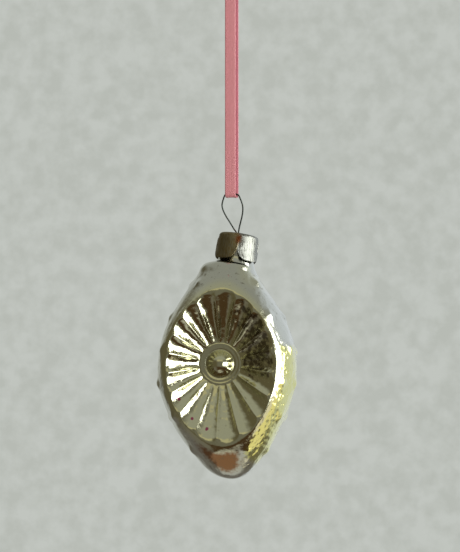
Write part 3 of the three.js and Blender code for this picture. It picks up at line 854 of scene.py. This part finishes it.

# %% [markdown]
# ### Silvered and lacquered glass
# The inside is silvered, so the glass is a mirror, and a dyed lacquer outside tints it. After decades the
# lacquer is left as a lemon yellow on one flank and a thin olive veil in the reflector, the silver has
# freckled, and the lacquer has crinkled where it is thick. The skin carries where each of these is.


# %% Where the lacquer, the brown patch and the freckles are
def stain(points, places, size):
    """The sum of exp(-(d / size)^2) over a few places, no more than 1."""
    return np.minimum(1, sum(np.exp(-((points - place) ** 2).sum(-1) / size**2) for place in places))


x, y, z = relief[..., 0], relief[..., 1], relief[..., 2]
flank = smoothstep(x + 2.2 * lumps(skin, 6, 2), 2.5, 9) * (1 - smoothstep(z + 3 * lumps(skin, 5, 4), 1, 9))
flank = flank * (1 - 0.75 * smoothstep(-z, 24, 29))
lemon_lacquer = on_lemon * flank
olive_veil = 0.75 * (1 - on_lemon) + on_lemon * 0.35 * smoothstep(lumps(skin, 9, 8), -0.2, 0.5) * (1 - flank)
# A brown patch of four soft blobs low on the lemon's front.
low_front_brown_places = [(-1.5, -9.5, -24.5), (-4.5, -9.5, -21.0), (0.5, -7.5, -27.5), (1.5, -9, -22)]
low_front_brown = stain(relief, low_front_brown_places, 3.6) * on_lemon
scoop_ends = np.array([(-12.1, -8.9), (-8.4, -14.4), (-4.3, -17.4)]) + [0, rim_middle]
magenta = stain(relief[..., [0, 2]], scoop_ends, 0.55) * (1 - on_lemon)
freckled = np.maximum(on_scoops * smoothstep(x, 1, 8) * smoothstep(z, -6, 0), 0.25 * on_lemon * (1 - flank))


# %% Silvered glass
def silvered_glass():
    constants = {"Metallic": 1.0, "Coat Weight": 0.6, "Coat Roughness": 0.03, "Coat IOR": 1.5}
    made, tree, shader = new_material("silvered_lacquered_glass", constants)
    place = millimetres(tree)
    mask = {name: add(tree, "ShaderNodeAttribute", attribute_name=name).outputs["Fac"]
            for name in ("lemon", "olive", "low_front_brown", "magenta", "freckled")}  # fmt: skip
    fine = add(tree, "ShaderNodeTexNoise", {"Vector": place, "Scale": 1.1, "Detail": 5.0, "Roughness": 0.6})
    flecks = noise(tree, place, 0.75, 4.0)

    def worn(name, low, high):
        ragged = add(tree, "ShaderNodeMath", {0: mask[name], 1: fine.outputs[0]}, operation="ADD").outputs[0]
        return ramp(tree, ragged, {1: low, 2: high})

    colour = mixed(tree, mask["olive"], linear("#c6c7be"), linear("#d9d7b2"))
    colour = mixed(tree, worn("lemon", 0.75, 1.1), colour, linear("#d8d58c"))
    # The brown patch low on the lemon's front.
    colour = mixed(tree, worn("low_front_brown", 0.8, 1.3), colour, linear("#94683f"))
    colour = mixed(tree, worn("magenta", 0.95, 1.1), colour, linear("#a84a6c"))
    spread = add(tree, "ShaderNodeMath", {0: mask["freckled"], 1: 0.3, 2: flecks}, operation="MULTIPLY_ADD")
    spots = ramp(tree, spread.outputs[0], {1: 0.66, 2: 0.86})
    colour = mixed(tree, spots, colour, linear("#6c634e"))
    tree.links.new(colour, shader.inputs["Base Color"])
    rough = ramp(tree, fine.outputs[0], {3: 0.03, 4: 0.16})
    tree.links.new(rough, shader.inputs["Roughness"])
    crinkle = add(tree, "ShaderNodeTexVoronoi", {"Vector": place, "Scale": 0.75}, feature="SMOOTH_F1")
    high = add(tree, "ShaderNodeMath", {0: mask["lemon"], 1: 0.3, 2: 0.14}, operation="MULTIPLY_ADD")
    both = add(tree, "ShaderNodeMath", {0: crinkle.outputs[0], 1: high.outputs[0]}, operation="MULTIPLY")
    inputs = {0: fine.outputs[0], 1: 0.1, 2: both.outputs[0]}
    grain = add(tree, "ShaderNodeMath", inputs, operation="MULTIPLY_ADD")
    bump = add(tree, "ShaderNodeBump", {"Height": grain.outputs[0], "Strength": 1.0, "Distance": 0.0005})
    tree.links.new(bump.outputs[0], shader.inputs["Normal"])
    return made


# %% Lemon skin
glass = silvered_glass()
lean = TIP_LEAN * np.maximum(0, -relief[..., 2] / BULB_LOWER) ** 3
drawn_out = relief + lean[..., None] * [1, 0, 0]
masks = {"lemon": lemon_lacquer, "olive": olive_veil, "low_front_brown": low_front_brown}
masks |= {"magenta": magenta, "freckled": freckled}
bulb = piece("silvered_lemon", placed(drawn_out, bulb_axes, bulb_middle), glass, masks=masks)
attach(bulb, "bulb")
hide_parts("glass_bulb")

# %% [markdown]
# ## The neck
# Above the shoulder the glass is drawn into a short tube that the cap covers. It shows in the notches. Its
# wall goes up to a melted lip and down again inside, and its foot sweeps out into the shoulder.

# %% Neck
GLASS_WALL = 0.8
NECK_FOOT = 1.7  # how far out the sweep into the shoulder reaches
NECK_COLUMNS = 96
NECK_TOP = -CAP_SHEET - CAP_DOME - 0.35


def shoulder_height(points):
    """How high the lemon's skin is at points of its own frame: the upper outline read at their radius."""
    upper = outline[outline[:, 1] > 0][::-1]
    return np.interp(np.hypot(points[..., 0], points[..., 1]), upper[:, 0], upper[:, 1])


def on_shoulder(radius, around):
    """Points on the shoulder at that radius from the neck's axis: a neck-frame point, dropped upright in the
    bulb's frame on to the lemon's skin."""
    ring = np.stack([radius * np.cos(around), radius * np.sin(around), np.full_like(around, -CAP_HEIGHT)], -1)
    local = (placed(ring, neck_axes, hole) - bulb_middle) @ bulb_axes.T
    local[..., 2] = shoulder_height(local)
    return placed(local, bulb_axes, bulb_middle)


around = np.linspace(0, 2 * np.pi, NECK_COLUMNS, endpoint=False)
ring_shape = np.stack([np.cos(around), np.sin(around), 0 * around], -1)
mouth = placed(NECK_RADIUS * ring_shape + [0, 0, NECK_TOP], neck_axes, hole)
corner = on_shoulder(np.full(NECK_COLUMNS, NECK_RADIUS), around)
foot = on_shoulder(np.full(NECK_COLUMNS, NECK_RADIUS + NECK_FOOT), around) - 0.03 * bulb_axes[2]
start = corner + (mouth - corner) * 0.25
share = np.linspace(0, 1, 14)[:, None, None]
sweep = (1 - share) ** 2 * foot + 2 * share * (1 - share) * corner + share**2 * start
wall = start + (mouth - start) * np.linspace(0, 1, 12)[1:, None, None]
lip_angle = np.linspace(0, np.pi, 9)[1:-1, None, None]
inward = placed(-GLASS_WALL / 2 * ring_shape, neck_axes, 0)
lip = mouth + inward * (1 - np.cos(lip_angle)) + GLASS_WALL / 2 * np.sin(lip_angle) * neck_up
bore = mouth + 2 * inward + (corner - mouth) * np.linspace(0, 1.15, 14)[:, None, None]
under = foot - GLASS_WALL * bulb_axes[2]
neck = piece("glass_neck", np.concatenate([sweep, wall, lip, bore, under[None]]), glass, ring=True)
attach(neck, "bulb")

# %% [markdown]
# ## Light and surroundings
# A mirror shows its surroundings, so they matter more here than lamps do. A bright window of two panes, one
# tall and one wide, stands on the right over a cream sill, with a pale wall beyond it. The wall behind is
# pale, the ceiling a duller grey, the left dim and the floor brown in front, and a lamp hangs overhead in
# front. They are painted on the world by direction. The camera itself sees a plain plastered wall.


# %% World
# Patches of the room: azimuth, anticlockwise from the right, and height above the horizon, each (low, high,
# softness) in degrees, then colour and brightness. Each is painted over the ones before it.
WALLS = (
    ((20, 180, 25), None, "#b3b6ae", 1.0),  # behind
    ((16, 78, 12), (-40, 70, 12), "#ccd2d6", 1.25),  # beyond the window
)
FITTINGS = (
    (None, (-120, -60, 7), "#c6c5bb", 1.0),  # straight down
    ((-130, -64, 8), (24, 46, 5), "#d8d2ae", 0.8),  # the lamp
    ((-22, 16, 4), (-58, -12, 5), "#f2ead0", 1.1),  # the sill
    ((-24, 14, 3), (-15, 36, 4), "#f8faf6", 6.0),  # the tall pane
    ((-64, 14, 3), (-15, 15, 4), "#f8faf6", 6.0),  # the wide pane
)


def world():
    made = bpy.data.worlds.new("room")
    bpy.context.scene.world = made
    made.use_nodes = True
    tree = made.node_tree
    tree.nodes.clear()
    way = add(tree, "ShaderNodeTexCoord").outputs["Generated"]
    parts = add(tree, "ShaderNodeSeparateXYZ", {0: way}).outputs
    around = add(tree, "ShaderNodeMath", {0: parts["Y"], 1: parts["X"]}, operation="ARCTAN2").outputs[0]
    above = add(tree, "ShaderNodeMath", {0: parts["Z"]}, operation="ARCSINE").outputs[0]

    def between(value, low, high, soft):
        inputs = {"Value": value, 1: math.radians(low - soft), 2: math.radians(low + soft)}
        rise = add(tree, "ShaderNodeMapRange", inputs, interpolation_type="SMOOTHSTEP").outputs[0]
        inputs = {"Value": value, 1: math.radians(high - soft), 2: math.radians(high + soft), 3: 1.0, 4: 0.0}
        fall = add(tree, "ShaderNodeMapRange", inputs, interpolation_type="SMOOTHSTEP").outputs[0]
        return add(tree, "ShaderNodeMath", {0: rise, 1: fall}, operation="MULTIPLY").outputs[0]

    def both(one, other):
        return add(tree, "ShaderNodeMath", {0: one, 1: other}, operation="MULTIPLY").outputs[0]

    def bright(hex_colour, times):
        return tuple(channel * times for channel in linear(hex_colour)[:3]) + (1.0,)

    def painted(room, azimuth, height, hex_colour, times):
        inside = [between(value, *limits) for value, limits in ((around, azimuth), (above, height)) if limits]
        share = both(*inside) if len(inside) == 2 else inside[0]
        return mixed(tree, share, room, bright(hex_colour, times))

    room = bright("#77756a", 1.0)
    for patch in WALLS:
        room = painted(room, *patch)
    leftward = {"Value": parts["X"], 1: -0.35, 2: -0.7}
    left = add(tree, "ShaderNodeMapRange", leftward, interpolation_type="SMOOTHSTEP").outputs[0]
    room = mixed(tree, both(left, between(above, -60, 40, 15)), room, bright("#645e49", 1.0))
    room = painted(room, None, (38, 120, 14), "#a6a79c", 1.0)
    boards = mixed(tree, between(around, -140, 0, 15), bright("#77736a", 1.0), bright("#4d3b27", 1.0))
    room = mixed(tree, between(above, -120, -28, 8), room, boards)
    for patch in FITTINGS:
        room = painted(room, *patch)
    plaster = noise(tree, way, 150.0, 3.0)
    uneven = ramp(tree, plaster, {1: 0.35, 2: 0.65})
    wall = mixed(tree, uneven, linear("#b7bbb4"), linear("#c1c5bf"))
    seen = mixed(tree, add(tree, "ShaderNodeLightPath").outputs["Is Camera Ray"], room, wall)
    light = add(tree, "ShaderNodeBackground", {"Color": seen, "Strength": 1.0})
    add(tree, "ShaderNodeOutputWorld", {"Surface": light.outputs[0]})


world()

# %% [markdown]
# A soft lamp in front and a weaker one behind help the ribbon, which is matt and would otherwise be dull.
# They aren't seen in the mirror. The floor lies far below.


# %% Fill light and floor
def area_light(name, place, size, watts, hex_colour):
    """A square lamp that looks where the camera does and doesn't show in a mirror."""
    data = bpy.data.lights.new(name, "AREA")
    data.size = size
    data.energy = watts
    data.color = linear(hex_colour)[:3]
    made = bpy.data.objects.new(name, data)
    made.location = place
    direction = np.array(place) - np.array(LOOKED_AT)
    made.rotation_euler = (math.atan2(math.hypot(*direction[:2]), direction[2]), 0,
                           math.atan2(direction[0], -direction[1]))  # fmt: skip
    made.visible_glossy = False
    made.visible_camera = False
    bpy.context.scene.collection.objects.link(made)


area_light("front_fill", (0.5, -1.3, 0.25), 0.8, 9, "#fff6ee")
area_light("back_fill", (-0.6, 1.3, 0.3), 0.8, 5, "#fff6ee")
FLOOR_THICKNESS = 0.02
FLOOR_RINGS = 12


def floor(radius, level):
    """A thick disc: rings of points whose radius grows evenly, and one more round its underside."""
    ring = np.append(np.linspace(0.01, 1, FLOOR_RINGS), 1)[:, None] * radius
    around = np.linspace(0, 2 * np.pi, 64, endpoint=False)
    height = np.where(np.arange(FLOOR_RINGS + 1) < FLOOR_RINGS, level, level - FLOOR_THICKNESS)[:, None]
    height = height + 0 * around
    return np.stack([ring * np.cos(around), ring * np.sin(around), height], -1) / MM


def floor_paint():
    made, tree, shader = new_material("matt_floor_paint", {"Roughness": 0.8})
    cloud = add(tree, "ShaderNodeTexNoise", {"Vector": millimetres(tree), "Scale": 0.004}).outputs[0]
    colour = mixed(tree, cloud, linear("#d6d8d2"), linear("#dddfd9"))
    tree.links.new(colour, shader.inputs["Base Color"])
    return made


ground = piece("studio_floor", floor(5.0, -1.5), floor_paint())
ground.visible_glossy = False
